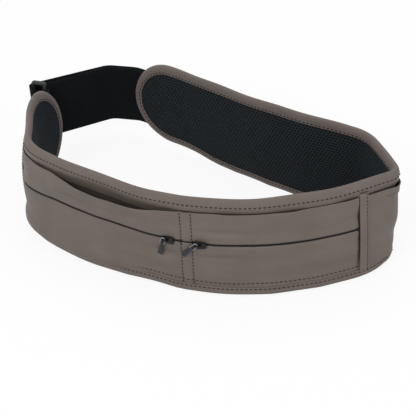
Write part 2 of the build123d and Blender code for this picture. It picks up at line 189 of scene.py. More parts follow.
class ClothFinish(Finish):
    """A finish whose pattern follows the cloth: its coordinates are (s, z) along the piece."""

    def coordinates(self, tree: bpy.types.NodeTree) -> bpy.types.NodeSocket:
        """Returns the place on the cloth, in millimetres."""
        return add_node(tree, "Attribute", attribute_name="cloth").outputs["Vector"]


class PlainWeave(ClothFinish):
    """Plain-weave pack nylon: a fine even grid of threads, softly lustrous."""

    def pattern(self, tree: bpy.types.NodeTree, spot: bpy.types.NodeSocket) -> bpy.types.NodeSocket:
        """Returns the threads' relief, with a little unevenness."""
        x, z, _ = split(tree, spot)
        turn = 2 * pi / self.pitch_mm
        warp = maths(tree, "SINE", maths(tree, "MULTIPLY", x, turn))
        weft = maths(tree, "SINE", maths(tree, "MULTIPLY", z, turn))
        threads = maths(tree, "MULTIPLY_ADD", maths(tree, "MULTIPLY", warp, weft), 0.25, 0.25)
        slubs = add_node(tree, "TexNoise", {"Vector": spot, "Scale": 0.6, "Detail": 4.0}).outputs[0]
        return maths(tree, "MULTIPLY_ADD", slubs, 0.5, threads)


class RibbedTape(ClothFinish):
    """Grosgrain or ribbed elastic: ribs that cross the tape or run along it."""

    def pattern(self, tree: bpy.types.NodeTree, spot: bpy.types.NodeSocket) -> bpy.types.NodeSocket:
        """Returns the ribs' relief."""
        x, z, way = split(tree, spot)
        along = maths(tree, "SINE", maths(tree, "MULTIPLY", z, 2 * pi / self.pitch_mm))
        across = maths(tree, "SINE", maths(tree, "MULTIPLY", x, 2 * pi / (0.7 * self.pitch_mm)))
        ribs = maths(tree, "MULTIPLY_ADD", along, 0.3, 0.5)
        return maths(tree, "MULTIPLY_ADD", across, 0.12, ribs)


class SpacerMesh(ClothFinish):
    """Knitted spacer mesh: rows of small holes on a triangular lattice, in a springy black knit."""

    def pattern(self, tree: bpy.types.NodeTree, spot: bpy.types.NodeSocket) -> bpy.types.NodeSocket:
        """Returns 0 in the holes and 1 on the knit between them."""
        x, z, _ = split(tree, spot)
        k = 4 * pi / (3 ** 0.5 * self.pitch_mm)
        rows = maths(tree, "COSINE", maths(tree, "MULTIPLY", z, k))
        half = maths(tree, "COSINE", maths(tree, "MULTIPLY", z, k / 2))
        side = maths(tree, "COSINE", maths(tree, "MULTIPLY", x, k * 3 ** 0.5 / 2))
        lattice = maths(tree, "MULTIPLY_ADD", maths(tree, "MULTIPLY", half, side), 2.0, rows)
        ramp = add_node(tree, "MapRange", {0: lattice, 1: -0.9, 2: 0.8, 3: 1.0, 4: 0.0},
                        interpolation_type="SMOOTHSTEP")
        return ramp.outputs[0]

    def tint(self, tree: bpy.types.NodeTree, spot: bpy.types.NodeSocket,
             relief: bpy.types.NodeSocket) -> bpy.types.NodeSocket:
        """Returns the holes' share of the darker colour, which is painted shade inside the holes."""
        return maths(tree, "SUBTRACT", 1.0, relief)


def split(tree: bpy.types.NodeTree, spot: bpy.types.NodeSocket) -> tuple[bpy.types.NodeSocket, ...]:
    """Returns a vector's three parts."""
    return tuple(add_node(tree, "SeparateXYZ", {0: spot}).outputs)


# Plain-woven pack nylon: a soft satin glow along the folds. Its real threads are about 0.3 mm
# apart, drawn coarser so that they still show.
TAUPE_NYLON = PlainWeave("taupe_nylon", "6E635B", "564C46", roughness=0.52, specular=0.45,
                         bump_mm=0.12, pitch_mm=1.1)
# Uncoated lining nylon inside the pockets: the same cloth, dull, and darker with painted shade for
# the shadow inside the pockets.
POCKET_NYLON_PAINTED_SHADE = PlainWeave("pocket_nylon_painted_shade", "4A423E", "3A3330", roughness=0.75, specular=0.15,
                          bump_mm=0.08, pitch_mm=1.1)
# Woven polyester grosgrain: fine ribs across the tape, a little lighter than the nylon.
TAUPE_TAPE = RibbedTape("taupe_binding_tape", "756A64", "5F5650", roughness=0.78, sheen=0.1,
                        bump_mm=0.14, pitch_mm=1.3)
# Knitted polyester spacer mesh: blue-black cords round small holes, whose near-black colour is
# painted shade inside the holes.
BLACK_MESH_HOLE_SHADE = SpacerMesh("black_spacer_mesh_hole_shade", "252D32", "020304", roughness=0.85, specular=0.2,
                        bump_mm=0.7, pitch_mm=3.0)
# Woven rubber-cored elastic: matt black with ribs along its length.
BLACK_ELASTIC = RibbedTape("black_elastic", "0D1215", "07090B", roughness=0.9, specular=0.15,
                           bump_mm=0.15, pitch_mm=1.6)
# Woven polyester zip tape, webbing and hook-and-loop: dull black.
BLACK_TAPE = RibbedTape("black_zip_tape", "101113", "08090A", roughness=0.85, specular=0.15,
                        bump_mm=0.08, pitch_mm=0.9)
# Extruded nylon coil: smooth enough to catch a thin dull light.
BLACK_COIL = Finish("black_nylon_coil", "101012", "080809", roughness=0.5, bump_mm=0.03)
# Spun polyester thread: matt, and darker than the cloth that it sinks into; its dark brown is partly
# the thread's own colour and partly painted shade of the stitch grooves.
THREAD_GROOVE_SHADE = Finish("brown_thread_groove_shade", "352D29", "2A2421", roughness=0.85, specular=0.15, bump_mm=0.05,
                pitch_mm=0.3)
# Die-cast zinc under black lacquer: small sharp glints.
BLACK_LACQUER = Finish("black_lacquered_zinc", "121315", "0B0C0D", roughness=0.34, metallic=0.5,
                       specular=0.5, bump_mm=0.02)
# Plated zinc wire: bright grey metal.
BRIGHT_ZINC = Finish("bright_zinc", "96999B", "74777A", roughness=0.3, metallic=1.0,
                     specular=0.5, bump_mm=0.02)
# Moulded PVC: blue-grey with a broad soft light.
TAB_RUBBER = Finish("blue_grey_moulded_tab", "2E363C", "23292E", roughness=0.55, bump_mm=0.04)
# Moulded acetal: near black, and a little waxy.
RING_PLASTIC = Finish("dark_acetal", "141618", "0E0F10", roughness=0.45, specular=0.5,
                      bump_mm=0.02)


# ---- The belt's plan and profile ----
def smooth(low: float, high: float, x: np.ndarray) -> np.ndarray:
    """Rises smoothly from 0 at low to 1 at high."""
    t = np.clip((np.asarray(x, float) - low) / (high - low), 0, 1)
    return t * t * (3 - 2 * t)


def hump(x: np.ndarray, centre: float, width: float) -> np.ndarray:
    """A smooth bump of height 1 that fades out at about twice its width."""
    return np.exp(-((np.asarray(x, float) - centre) / width) ** 2)


def uneven(s: np.ndarray, z: np.ndarray, long: float, tall: float, seed: float) -> np.ndarray:
    """Smooth noise over the cloth, from about -1 to 1.

    Args:
        s: Places along the belt, one row of the grid for each.
        z: Heights, on the same grid.
        long: The noise's grain along the belt.
        tall: The noise's grain up the belt.
        seed: Where in the noise the sample is taken.

    Returns:
        The noise on the grid.
    """
    return np.array([[noise.noise(Vector((a / long, b / tall, seed))) for b in row]
                     for a, row in zip(s[:, 0], z)])


@dataclass
class PlanLine:
    """Straight runs joined by tangent arcs, seen from above; d is to the right of its travel."""

    corners: Sequence[tuple[float, float, float]]
    step: float = 0.5
    past: float = 12.0
    s: np.ndarray = field(init=False)
    xy: np.ndarray = field(init=False)
    heading: np.ndarray = field(init=False)

    def __post_init__(self) -> None:
        """Samples the line at even steps, and a little past both ends."""
        runs, start, heading = [], Vector(self.corners[0][:2]), 0.0
        for i, (x, y, radius) in enumerate(self.corners[1:-1], 1):
            here = Vector((x, y))
            heading, turn = self.turn(i)
            cut = radius * tan(abs(turn) / 2)
            ahead = Vector((cos(heading), sin(heading)))
            runs.append(((here - start).length - cut, heading, 0.0))
            runs.append((radius * abs(turn), heading, turn))
            start = here + cut * Vector((cos(heading + turn), sin(heading + turn)))
        heading = atan2(self.corners[-1][1] - start.y, self.corners[-1][0] - start.x)
        runs.append(((Vector(self.corners[-1][:2]) - start).length, heading, 0.0))
        self.length = sum(run[0] for run in runs)
        self.s = np.arange(-self.past, self.length + self.past, self.step)
        angle, at = np.full(self.s.shape, runs[0][1]), 0.0
        for length, first, turn in runs:
            inside = self.s >= at
            angle[inside] = first + turn * np.clip((self.s[inside] - at) / max(length, 1e-9), 0, 1)
            at += length
        middle = (angle[1:] + angle[:-1]) / 2
        steps = self.step * np.stack([np.cos(middle), np.sin(middle)], 1)
        xy = np.concatenate([[[0, 0]], np.cumsum(steps, 0)])
        origin = [np.interp(0, self.s, xy[:, k]) for k in (0, 1)]
        self.xy = xy - origin + np.array(self.corners[0][:2])
        self.heading = angle

    def turn(self, i: int) -> tuple[float, float]:
        """Returns the heading before the corner i and the turn there."""
        (x0, y0, _), (x1, y1, _), (x2, y2, _) = self.corners[i - 1:i + 2]
        before, after = atan2(y1 - y0, x1 - x0), atan2(y2 - y1, x2 - x1)
        return before, (after - before + pi) % (2 * pi) - pi

    def point(self, s: np.ndarray, d: np.ndarray) -> np.ndarray:
        """Returns the x and y of the places s, at the offsets d."""
        a = np.interp(s, self.s, np.unwrap(self.heading))
        x = np.interp(s, self.s, self.xy[:, 0]) + d * np.sin(a)
        y = np.interp(s, self.s, self.xy[:, 1]) - d * np.cos(a)
        return np.stack([x, y], -1)


@dataclass
class Belt:
    """The belt's body: its plan, its outline and the faces of its layers."""

    height: float = 90.0
    leg: float = 8.5
    tip_length: float = 40.0
    right_tip_rise: float = 9.0
    tip_seat: float = -2.2
    divider: float = 270.24
    pockets_start: float = 94.24
    pockets_end: float = 410.24
    side_end: float = 560.24
    zip_z: float = 48.0
    mouth_z: float = 76.5
    plan: PlanLine = field(default_factory=lambda: PlanLine([
        (-133.6, 155.8, 0.0),
        (-150.0, 111.7, 98.0),
        (-146.5, 42.1, 48.0),
        (-80.4, -13.9, 513.0),
        (-21.2, -44.0, 50.0),
        (54.0, -69.9, 192.5),
        (150.6, -26.9, 10.0),
        (135.7, 31.8, 38.0),
        (-56.2, 182.4, 0.0),
    ]))
    shift: np.ndarray = field(init=False)

    def __post_init__(self) -> None:
        """Finds the frame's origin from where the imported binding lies."""
        s = self.plan.s[(self.plan.s >= 0) & (self.plan.s <= self.plan.length)]
        faces = np.concatenate([self.plan.point(s, 0.8), self.plan.point(s, -7.2)])
        low = np.array(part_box("edge_binding")[0])[:2] / MM
        self.shift = low - faces.min(0)

    @property
    def length(self) -> float:
        """The length from tip to tip."""
        return self.plan.length

    def to_frame(self, xy: np.ndarray, z: np.ndarray) -> np.ndarray:
        """Returns points in the frame's metres from plan places and heights."""
        xy = np.asarray(xy) + self.shift
        z = np.broadcast_to(z, xy.shape[:-1])
        return np.concatenate([xy, z[..., None]], -1) * MM

    def place(self, s: np.ndarray, z: np.ndarray, d: np.ndarray) -> np.ndarray:
        """Returns the spots (s, z, d) in the frame's metres."""
        s, z, d = np.broadcast_arrays(np.asarray(s, float), z, d)
        return self.to_frame(self.plan.point(s, d), z + self.ripple(s, z))

    def ripple(self, s: np.ndarray, z: np.ndarray) -> np.ndarray:
        """How far the cloth's edges wander up and down; nothing at mid-height."""
        t = 2 * np.asarray(z, float) / self.height - 1
        wander = np.sin(s / 17.0) + 0.7 * np.sin(s / 9.3 + 1.1) + 0.5 * np.sin(s / 29.0 + 0.4)
        return 0.45 * np.where(t > 0, wander * t ** 3, -np.abs(wander) * t ** 3)

    def lean(self, z: np.ndarray) -> np.ndarray:
        """The middle of the bound edge: the belt stands wider at its foot than at its top."""
        return 2.5 - 5.0 * np.asarray(z, float) / self.height

    def swell(self, z: np.ndarray) -> np.ndarray:
        """The padding's fullness across the height, 0 at the edges and 1 in the middle."""
        t = np.clip(np.asarray(z, float) / self.height, 0, 1)
        return 4 * t * (1 - t)

    def in_pockets(self, s: np.ndarray) -> np.ndarray:
        """1 along the front and side pockets, fading to 0 past them."""
        return smooth(self.pockets_start - 8, self.pockets_start + 4, s) * (
            1 - smooth(self.side_end - 4, self.side_end + 8, s))

    def drift(self, s: np.ndarray, z: np.ndarray) -> np.ndarray:
        """How far the whole body stands off its plan line: soft bulges, and flat seated tips.

        Args:
            s: Places along the belt.
            z: Heights.

        Returns:
            The distance outwards.
        """
        t = np.clip(np.asarray(z, float) / self.height, 0, 1)
        top = 5.0 * hump(s, 236, 26) * smooth(0.45, 1.0, t)
        corner = 4.0 * hump(s, 105, 19) * self.swell(z)
        foot = 3.2 * hump(s, 178, 52) * np.clip(1 - 2 * t, 0, 1) ** 1.2
        tuck = -9.0 * hump(s, 443, 17) * (1 - t) ** 1.6
        back = -6.5 * smooth(500, 580, s) * (1 - smooth(590, 715, s))
        waves = 0.5 * np.sin(np.asarray(s) / 23.0 + 0.6) * np.abs(2 * t - 1)
        tip = 1 - smooth(self.tip_length - 6, self.tip_length + 34, np.minimum(s, self.length - s))
        seat = self.tip_seat - self.lean(z)
        return (top + corner + foot + tuck + back + waves) * (1 - tip) + seat * tip

    def front(self, s: np.ndarray, z: np.ndarray) -> np.ndarray:
        """The outermost face, which the binding's outer leg lies on."""
        return self.lean(z) + 2.0 + 1.5 * self.swell(z) * self.in_pockets(s) + self.drift(s, z)

    def shell(self, s: np.ndarray, z: np.ndarray) -> np.ndarray:
        """The shell's outer face, hollowed where the slip pockets lie over it."""
        pockets = self.in_pockets(s)
        hollow = 3.4 * pockets * smooth(4, 24, z) * (1 - smooth(66, 84, z))
        full = (0.5 + pockets) * self.swell(z)
        return self.lean(z) + 1.7 + full - hollow + self.drift(s, z)

    def inner(self, s: np.ndarray, z: np.ndarray) -> np.ndarray:
        """The face worn against the waist."""
        return self.lean(z) - 1.7 - 4.0 * self.swell(z) + self.drift(s, z)

    def rise(self, s: np.ndarray) -> np.ndarray:
        """How far the lower edge curves up towards the right tip."""
        return self.right_tip_rise * smooth(self.length - 95, self.length - 37, s)

    def edges(self, s: np.ndarray, inset: float = 0.0) -> tuple[np.ndarray, np.ndarray]:
        """Returns the heights of the lower and the upper edge at s.

        Args:
            s: Places along the belt.
            inset: Distance inside the real edge.

        Returns:
            The lower and the upper height.
        """
        low, high = self.rise(s) + inset, np.full(np.shape(s), self.height - inset)
        from_tip = np.minimum(s, self.length - s)
        share = np.clip((self.tip_length - from_tip) / (self.tip_length - inset), 0, 1)
        round_off = (high - low) / 2 * (1 - np.sqrt(1 - share ** 2))
        return low + round_off, high - round_off

    def outline(self, step: float = 2.5) -> tuple[np.ndarray, np.ndarray]:
        """Samples the body's outline once round, from the upper edge at the left.

        Args:
            step: Spacing on the long edges.

        Returns:
            The spots' (s, z), and the unit directions into the cloth.
        """
        a, length = self.tip_length, self.length
        count = int((length - 2 * a) / step)
        line = np.linspace(a, length - a, count, endpoint=False)
        turn = np.linspace(0, pi, 44, endpoint=False)
        half = self.height / 2
        half_r = (self.height - self.right_tip_rise) / 2
        mid_r = self.height - half_r
        back = line[::-1] + (line[1] - line[0])
        spots = np.concatenate([
            np.stack([line, np.full(count, self.height)], 1),
            np.stack([length - a + a * np.sin(turn), mid_r + half_r * np.cos(turn)], 1),
            np.stack([back, self.rise(back)], 1),
            np.stack([a - a * np.sin(turn), half - half * np.cos(turn)], 1),
        ])
        along = np.roll(spots, -1, 0) - np.roll(spots, 1, 0)
        along /= np.linalg.norm(along, axis=1)[:, None]
        return spots, np.stack([along[:, 1], -along[:, 0]], 1)


# ---- Meshes ----
def make_object(name: str, points: np.ndarray, faces: Sequence[Sequence[int]], finish: Finish,
                cloth: np.ndarray | None = None) -> bpy.types.Object:
    """Makes a smooth-shaded mesh object.

    Args:
        name: The piece's name.
        points: Vertices, in metres.
        faces: Each face's vertex numbers.
        finish: The surface's finish.
        cloth: Each vertex's place on the flat cloth, in millimetres.

    Returns:
        The object, linked to the scene.
    """
    mesh = bpy.data.meshes.new(name)
    mesh.from_pydata(points.tolist(), [], faces if isinstance(faces, list) else faces.tolist())
    mesh.polygons.foreach_set("use_smooth", [True] * len(mesh.polygons))
    if cloth is not None:
        flat = np.zeros((len(points), 3), np.float32)
        flat[:, :cloth.shape[1]] = cloth
        place = mesh.attributes.new("cloth", "FLOAT_VECTOR", "POINT")
        place.data.foreach_set("vector", flat.ravel())
    mesh.materials.append(finish.make())
    piece = bpy.data.objects.new(name, mesh)
    bpy.context.scene.collection.objects.link(piece)
    return piece


def grid_faces(rows: int, columns: int, close_rows: bool = False,
               close_columns: bool = False) -> np.ndarray:
    """Returns the quads of a grid of points, row by row.

    Args:
        rows: Number of rows.
        columns: Number of columns.
        close_rows: Whether the last row joins the first.
        close_columns: Whether the last column joins the first.

    Returns:
        One row of four vertex numbers for each quad.
    """
    i = np.arange(rows if close_rows else rows - 1)[:, None]
    j = np.arange(columns if close_columns else columns - 1)[None, :]
    i2, j2 = (i + 1) % rows, (j + 1) % columns
    quads = np.stack(np.broadcast_arrays(i * columns + j, i2 * columns + j, i2 * columns + j2,
                                         i * columns + j2), -1)
    return quads.reshape(-1, 4)


def grid_piece(name: str, points: np.ndarray, cloth: np.ndarray, finish: Finish,
               close_rows: bool = False, close_columns: bool = False) -> bpy.types.Object:
    """Makes a piece from a grid of points.

    Args:
        name: The piece's name.
        points: An array of rows by columns by 3, in metres.
        cloth: The same grid's places on the flat cloth, in millimetres.
        finish: The surface's finish.
        close_rows: Whether the last row joins the first.
        close_columns: Whether the last column joins the first.

    Returns:
        The object.
    """
    rows, columns = points.shape[:2]
    faces = grid_faces(rows, columns, close_rows, close_columns)
    flat = cloth.reshape(-1, cloth.shape[-1])
    return make_object(name, points.reshape(-1, 3), faces, finish, flat)


def thicken(piece: bpy.types.Object, thickness: float, offset: float = -1.0) -> None:
    """Gives a sheet its thickness, in millimetres; offset -1 grows it inwards."""
    solid = piece.modifiers.new("thickness", "SOLIDIFY")
    solid.thickness, solid.offset = thickness * MM, offset


def stitches(name: str, line: np.ndarray, normal: np.ndarray, pitch: float = 3.7,
             length: float = 2.6, radius: float = 0.52) -> bpy.types.Object:
    """Makes a row of lockstitches that lie on a line.

    Args:
        name: The piece's name.
        line: Points along the row, in metres.
        normal: The surface's normal at each point.
        pitch: Distance from stitch to stitch, in millimetres.
        length: A stitch's length, in millimetres.
        radius: The thread's radius, in millimetres.

    Returns:
        One object with all the stitches.
    """
    run = np.concatenate([[0], np.cumsum(np.linalg.norm(np.diff(line, axis=0), axis=1))]) / MM
    centres = np.arange(pitch / 2, run[-1], pitch)
    middle = np.stack([np.interp(centres, run, line[:, k]) for k in range(3)], 1)
    ahead = np.stack([np.interp(centres + 0.5, run, line[:, k]) for k in range(3)], 1)
    behind = np.stack([np.interp(centres - 0.5, run, line[:, k]) for k in range(3)], 1)
    along = ahead - behind
    along /= np.linalg.norm(along, axis=1)[:, None]
    up = np.stack([np.interp(centres, run, normal[:, k]) for k in range(3)], 1)
    side = np.cross(up, along)
    side /= np.linalg.norm(side, axis=1)[:, None]
    up = np.cross(along, side)
    ring = [(side, 1), (up, 1), (side, -1), (up, -1)]
    r, half = radius * MM, length * MM / 2
    points = [middle - half * along]
    points += [middle - 0.55 * half * along + k * r * way for way, k in ring]
    points += [middle + 0.55 * half * along + k * r * way for way, k in ring]
    points += [middle + half * along]
    one = [[0, 1 + (i + 1) % 4, 1 + i] for i in range(4)]
    one += [[1 + i, 1 + (i + 1) % 4, 5 + (i + 1) % 4, 5 + i] for i in range(4)]
    one += [[9, 5 + i, 5 + (i + 1) % 4] for i in range(4)]
    points = np.stack(points, 1).reshape(-1, 3)
    faces = [[10 * k + i for i in face] for k in range(len(centres)) for face in one]
    # The thread's dark colour holds painted shade of the stitch grooves.
    return make_object(name, points, faces, THREAD_GROOVE_SHADE)


# ---- Sub-assemblies ----
@dataclass
class BodyCover:
    """The padded body: shell, lining, binding and the facing along the slip pockets' mouths."""

    belt: Belt
    tuck: float = 6.5
    stitch_in: float = 6.9
    rows: int = 25

    def columns(self, inset: float) -> np.ndarray:
        """Places along the belt, closer together towards both tips."""
        tip = self.belt.tip_length - inset
        near = inset + tip * (1 - np.cos(np.linspace(0, pi / 2, 14, endpoint=False)))
        middle = np.arange(self.belt.tip_length, self.belt.length - self.belt.tip_length, 2.5)
        return np.concatenate([near, middle, self.belt.length - near[::-1]])

    def panel(self, inset: float) -> tuple[np.ndarray, np.ndarray]:
        """Returns the s and z grids of a panel that ends inset from the edge."""
        s = self.columns(inset)
        low, high = self.belt.edges(s, inset)
        z = low[:, None] + (high - low)[:, None] * np.linspace(0, 1, self.rows)
        return np.broadcast_to(s[:, None], z.shape), z

    def shell(self) -> bpy.types.Object:
        """Makes the outer nylon panel."""
        s, z = self.panel(self.tuck)
        piece = grid_piece("shell_panel", self.belt.place(s, z, self.belt.shell(s, z)),
                           np.stack([s, z], -1), TAUPE_NYLON)
        thicken(piece, 0.5)
        return dress(piece, "belt", "nylon", "outer_shell")

    def lining(self) -> bpy.types.Object:
        """Makes the pad under the shell, faced with spacer mesh on the inside."""
        s, z = self.panel(self.tuck)
        faces = [self.belt.inner(s, z), self.belt.shell(s, z) - 1.0]
        points = [self.belt.place(s, z, d) for d in faces]
        grid = np.concatenate([points[0], points[1][:, ::-1]], 1)
        cloth = np.concatenate([np.stack([s, z], -1), np.stack([s, z], -1)[:, ::-1]], 1)
        # The lining's near-black holes are painted shade.
        piece = grid_piece("padded_lining", grid, cloth, BLACK_MESH_HOLE_SHADE, close_columns=True)
        return dress(piece, "belt", "mesh", "mesh_lining", "foam_core")

    def binding(self) -> None:
        """Makes the folded tape round the whole edge, and its stitches on both faces."""
        spots, inward = self.belt.outline()
        leg = self.belt.leg
        half = [(leg, -0.15), (leg - 0.1, 0.35), (leg - 0.7, 0.6), (self.stitch_in, 0.42),
                (5.4, 0.6), (3.4, 0.5), (1.9, 0.1), (0.7, -0.75)]
        profile = [(width, 1, proud) for width, proud in half] + [(0.0, 0, 0.0)]
        profile += [(width, -1, proud) for width, proud in half[::-1]]
        grid = np.stack([self.leg_points(spots, inward, *row) for row in profile], 1)
        along = np.cumsum(np.linalg.norm(np.roll(spots, -1, 0) - spots, axis=1))
        across = np.cumsum([0.0] + [hypot(b[0] - a[0], b[2] - a[2]) + abs(b[1] - a[1])
                                    for a, b in zip(profile, profile[1:])])
        cloth = np.stack(np.broadcast_arrays(across[None, :], along[:, None]), -1)
        piece = grid_piece("edge_binding_tape", grid, cloth, TAUPE_TAPE, close_rows=True)
        subdivide(piece)
        dress(piece, "belt", "binding", "edge_binding")
        for side, name in ((1, "binding_stitches_outer"), (-1, "binding_stitches_inner")):
            row = self.leg_points(spots, inward, self.stitch_in, side, 0.5)
            under = self.leg_points(spots, inward, self.stitch_in, side, 0.0)
            row, under = np.concatenate([row, row[:1]]), np.concatenate([under, under[:1]])
            dress(stitches(name, row, row - under), "belt", "binding")

    def leg_points(self, spots: np.ndarray, inward: np.ndarray, width: float, side: int,
                   proud: float) -> np.ndarray:
        """Returns one line of the folded tape, once round the belt.

        Args:
            spots: The outline's (s, z).
            inward: The unit directions into the cloth.
            width: How far in from the edge the line lies.
            side: 1 on the outer face, -1 on the inner face, 0 on the edge itself.
            proud: How far the line stands off that face.

        Returns:
            The line's points, in metres.
        """
        s, z = (spots + width * inward).T
        belt = self.belt
        middle = belt.lean(z) + belt.drift(s, z)
        face = {1: belt.front(s, z), -1: belt.inner(s, z), 0: middle}[side]
        return belt.place(s, z, face + side * proud)

    def facing(self) -> None:
        """Makes the folded strip under the upper binding, along the slip pockets' mouths."""
        belt = self.belt
        s = np.arange(belt.pockets_start - 4, belt.side_end + 4, 2.5)
        foot = belt.height - belt.leg - 3.6
        rows = [(6.0, -1.4), (0.4, -1.2), (0.0, -0.6), (0.3, -0.05), (4.5, 0.1)]
        grid = np.stack([belt.place(s, foot + dz, belt.front(s, foot + dz) + d)
                         for dz, d in rows], 1)
        cloth = np.stack(np.broadcast_arrays(s[:, None], np.array([0.0, 5.6, 6.2, 6.8, 11.0])), -1)
        piece = grid_piece("mouth_facing_strip", grid, cloth, TAUPE_NYLON)
        dress(piece, "belt", "nylon", "mouth_facing")

    def build(self) -> None:
        """Makes every piece of the body."""
        self.shell()
        self.lining()
        self.binding()
        self.facing()


def subdivide(piece: bpy.types.Object, levels: int = 1) -> None:
    """Smooths a piece with subdivision."""
    surface = piece.modifiers.new("smooth", "SUBSURF")
    surface.levels = surface.render_levels = levels


def dress(piece: bpy.types.Object, body: str, slot: str, *nodes: str) -> bpy.types.Object:
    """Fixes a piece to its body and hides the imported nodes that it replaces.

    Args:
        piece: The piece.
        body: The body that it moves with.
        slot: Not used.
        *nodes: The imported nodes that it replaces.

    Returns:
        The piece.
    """
    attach(piece, body)
    if nodes:
        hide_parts(*nodes)
    LOG.info("%s: %d faces on %s", piece.name, len(piece.data.polygons), body)
    return piece


@dataclass
class FrontPockets:
    """Two zipped pockets on the front, with slip pockets behind them."""

    belt: Belt
    slit: float = 1.4
    gape: float = 8.0
    sag: float = 4.0
    gape_peak: float = 198.0
    panel_step: float = 2.0
    seam_half: float = 4.3
    pouch_foot: float = 20.0
    pouch_head: float = 71.0

    def open_share(self, s: np.ndarray) -> np.ndarray:
        """How far open the left slip pocket's mouth stands at s, from 0 to 1."""
        before = smooth(self.belt.pockets_start + 20, self.gape_peak, s)
        after = 1 - smooth(self.gape_peak, self.belt.divider, s)
        return before * after

    def mouth(self, s: np.ndarray) -> np.ndarray:
        """The height of the mouth's edge, which sags where it stands open."""
        closed = 1.0 * smooth(self.belt.divider, self.belt.divider + 30, s)
        return self.belt.mouth_z - self.sag * self.open_share(s) + closed

    def folds(self, s: np.ndarray, z: np.ndarray) -> np.ndarray:
        """Small folds of the thin nylon: pulled flat by the seams, puckered beside the sliders."""
        belt = self.belt
        beside = hump(s, belt.divider + 24, 24)
        ridges = 0.6 * hump(z, 55.5, 1.8) + 0.5 * hump(z, 39.5, 1.8)
        pucker = 1.5 * beside * (ridges - hump(z, 59, 2.4) - hump(z, 36, 2.6))
        pucker -= 1.5 * hump(s, belt.divider - 16, 15) * (hump(z, 35, 3.0) - 0.4 * hump(z, 29, 3.0))
        wave = uneven(s, z, 34, 13, 0.3) + 0.35 * uneven(s, z, 15, 6, 7.9)
        lines = belt.divider - self.seam_half, belt.divider + self.seam_half
        seam = 1 - 0.75 * sum(hump(s, line, 5) for line in lines).clip(0, 1)
        end = -0.9 * smooth(belt.pockets_end - 6.5, belt.pockets_end - 4.8, s)
        dent = end - 0.7 * sum(hump(s, line, 1.3) for line in lines)
        held = smooth(7, 20, z)
        calm = 1 - 0.8 * hump(z, belt.zip_z - 4, 11)
        return (pucker + 2.2 * wave * calm) * seam * held + dent

    def wall(self, s: np.ndarray, z: np.ndarray) -> np.ndarray:
        """The offset of the pocket front's outer face."""
        foot = self.belt.zip_z + 5
        lean = smooth(foot, self.belt.mouth_z + 6, z) * self.gape * self.open_share(s) * 1.15
        loose = 0.9 * smooth(58, self.belt.mouth_z, z)
        return self.belt.front(s, z) - 0.3 + lean + loose + self.folds(s, z)

    def columns(self) -> np.ndarray:
        """Places along both front pockets."""
        end = self.belt.pockets_end - 4.7
        seams = self.belt.divider + np.array([-self.seam_half, self.seam_half])
        plain = np.arange(self.belt.pockets_start, end - 1.5, self.panel_step)
        plain = plain[np.abs(plain[:, None] - seams).min(1) > 2.0]
        close = (seams[:, None] + np.array([-1.6, -0.7, 0.0, 0.7, 1.6])).ravel()
        return np.sort(np.concatenate([plain, close, [end - 1, end - 0.3, end]]))

    def upper_panel(self) -> None:
        """Makes the panel above the zips, with its hemmed mouth, and the pocket's back wall."""
        belt, s = self.belt, self.columns()
        foot, top = belt.zip_z + self.slit / 2, self.mouth(s)
        share = np.concatenate([[0, 0.02, 0.05], np.linspace(0.1, 0.97, 15)])
        z = foot + (top - foot)[:, None] * share
        wide = np.broadcast_to(s[:, None], z.shape)
        roll = -0.9 * (1 - smooth(0, 1.6, z - foot))
        outer = self.wall(wide, z) + roll
        hem = [(-0.25, -0.15), (0.0, -0.6), (-0.3, -1.05), (-4.0, -1.2), (-8.0, -1.3)]
        hem_z = np.stack([top + dz for dz, _ in hem], 1)
        hem_wide = np.broadcast_to(s[:, None], hem_z.shape)
        hem_d = self.wall(hem_wide, hem_z) + np.array([d for _, d in hem])
        grid_z, grid_s = np.concatenate([z, hem_z], 1), np.concatenate([wide, hem_wide], 1)
        grid_d = np.concatenate([outer, hem_d], 1)
        piece = grid_piece("front_upper_cloth", belt.place(grid_s, grid_z, grid_d),
                           np.stack([grid_s, grid_z], -1), TAUPE_NYLON)
        subdivide(piece)
        dress(piece, "belt", "nylon", "front_upper_panel")

    def back_wall(self) -> None:
        """Makes the zipped pockets' back wall, which is the slip pockets' front wall."""
        belt, s = self.belt, self.columns()
        top = self.mouth(s) - 1.0
        front_z = top[:, None] + (self.pouch_foot - top)[:, None] * np.linspace(0, 1, 24)
        back_z = np.broadcast_to(np.linspace(self.pouch_foot, self.pouch_head, 24), front_z.shape)
        wide = np.broadcast_to(s[:, None], front_z.shape)
        front = self.wall(wide, front_z) - 1.9 + 0.5 * smooth(60, belt.mouth_z, front_z)
        back = belt.shell(wide, back_z) + 0.5
        z, d = np.concatenate([front_z, back_z], 1), np.concatenate([front, back], 1)
        wide = np.concatenate([wide, wide], 1)
        # The wall's darker nylon is painted shade for the shadow inside the pockets.
        piece = grid_piece("pocket_wall", belt.place(wide, z, d), np.stack([wide, z], -1),
                           POCKET_NYLON_PAINTED_SHADE)
        dress(piece, "belt", "lining", "pocket_lining")

    def lower_panel(self) -> None:
        """Makes the panel below the zips."""
        belt, s = self.belt, self.columns()
        top = belt.zip_z - self.slit / 2
        foot = 6.5 - 4.5 * (1 - smooth(165, 235, s))
        share = np.append(np.linspace(0, 0.95, 20), [0.98, 0.992, 1.0])
        z = foot[:, None] + (top - foot)[:, None] * share
        wide = np.broadcast_to(s[:, None], z.shape)
        roll = -0.9 * (1 - smooth(0, 1.6, top - z))
        over = 4.2 * (1 - smooth(165, 240, wide)) * smooth(1.5, 9, z) * (1 - smooth(10, 32, z))
        d = self.wall(wide, z) + roll + over
        piece = grid_piece("front_lower_cloth", belt.place(wide, z, d), np.stack([wide, z], -1),
                           TAUPE_NYLON)
        subdivide(piece)
        dress(piece, "belt", "nylon", "front_lower_panel")

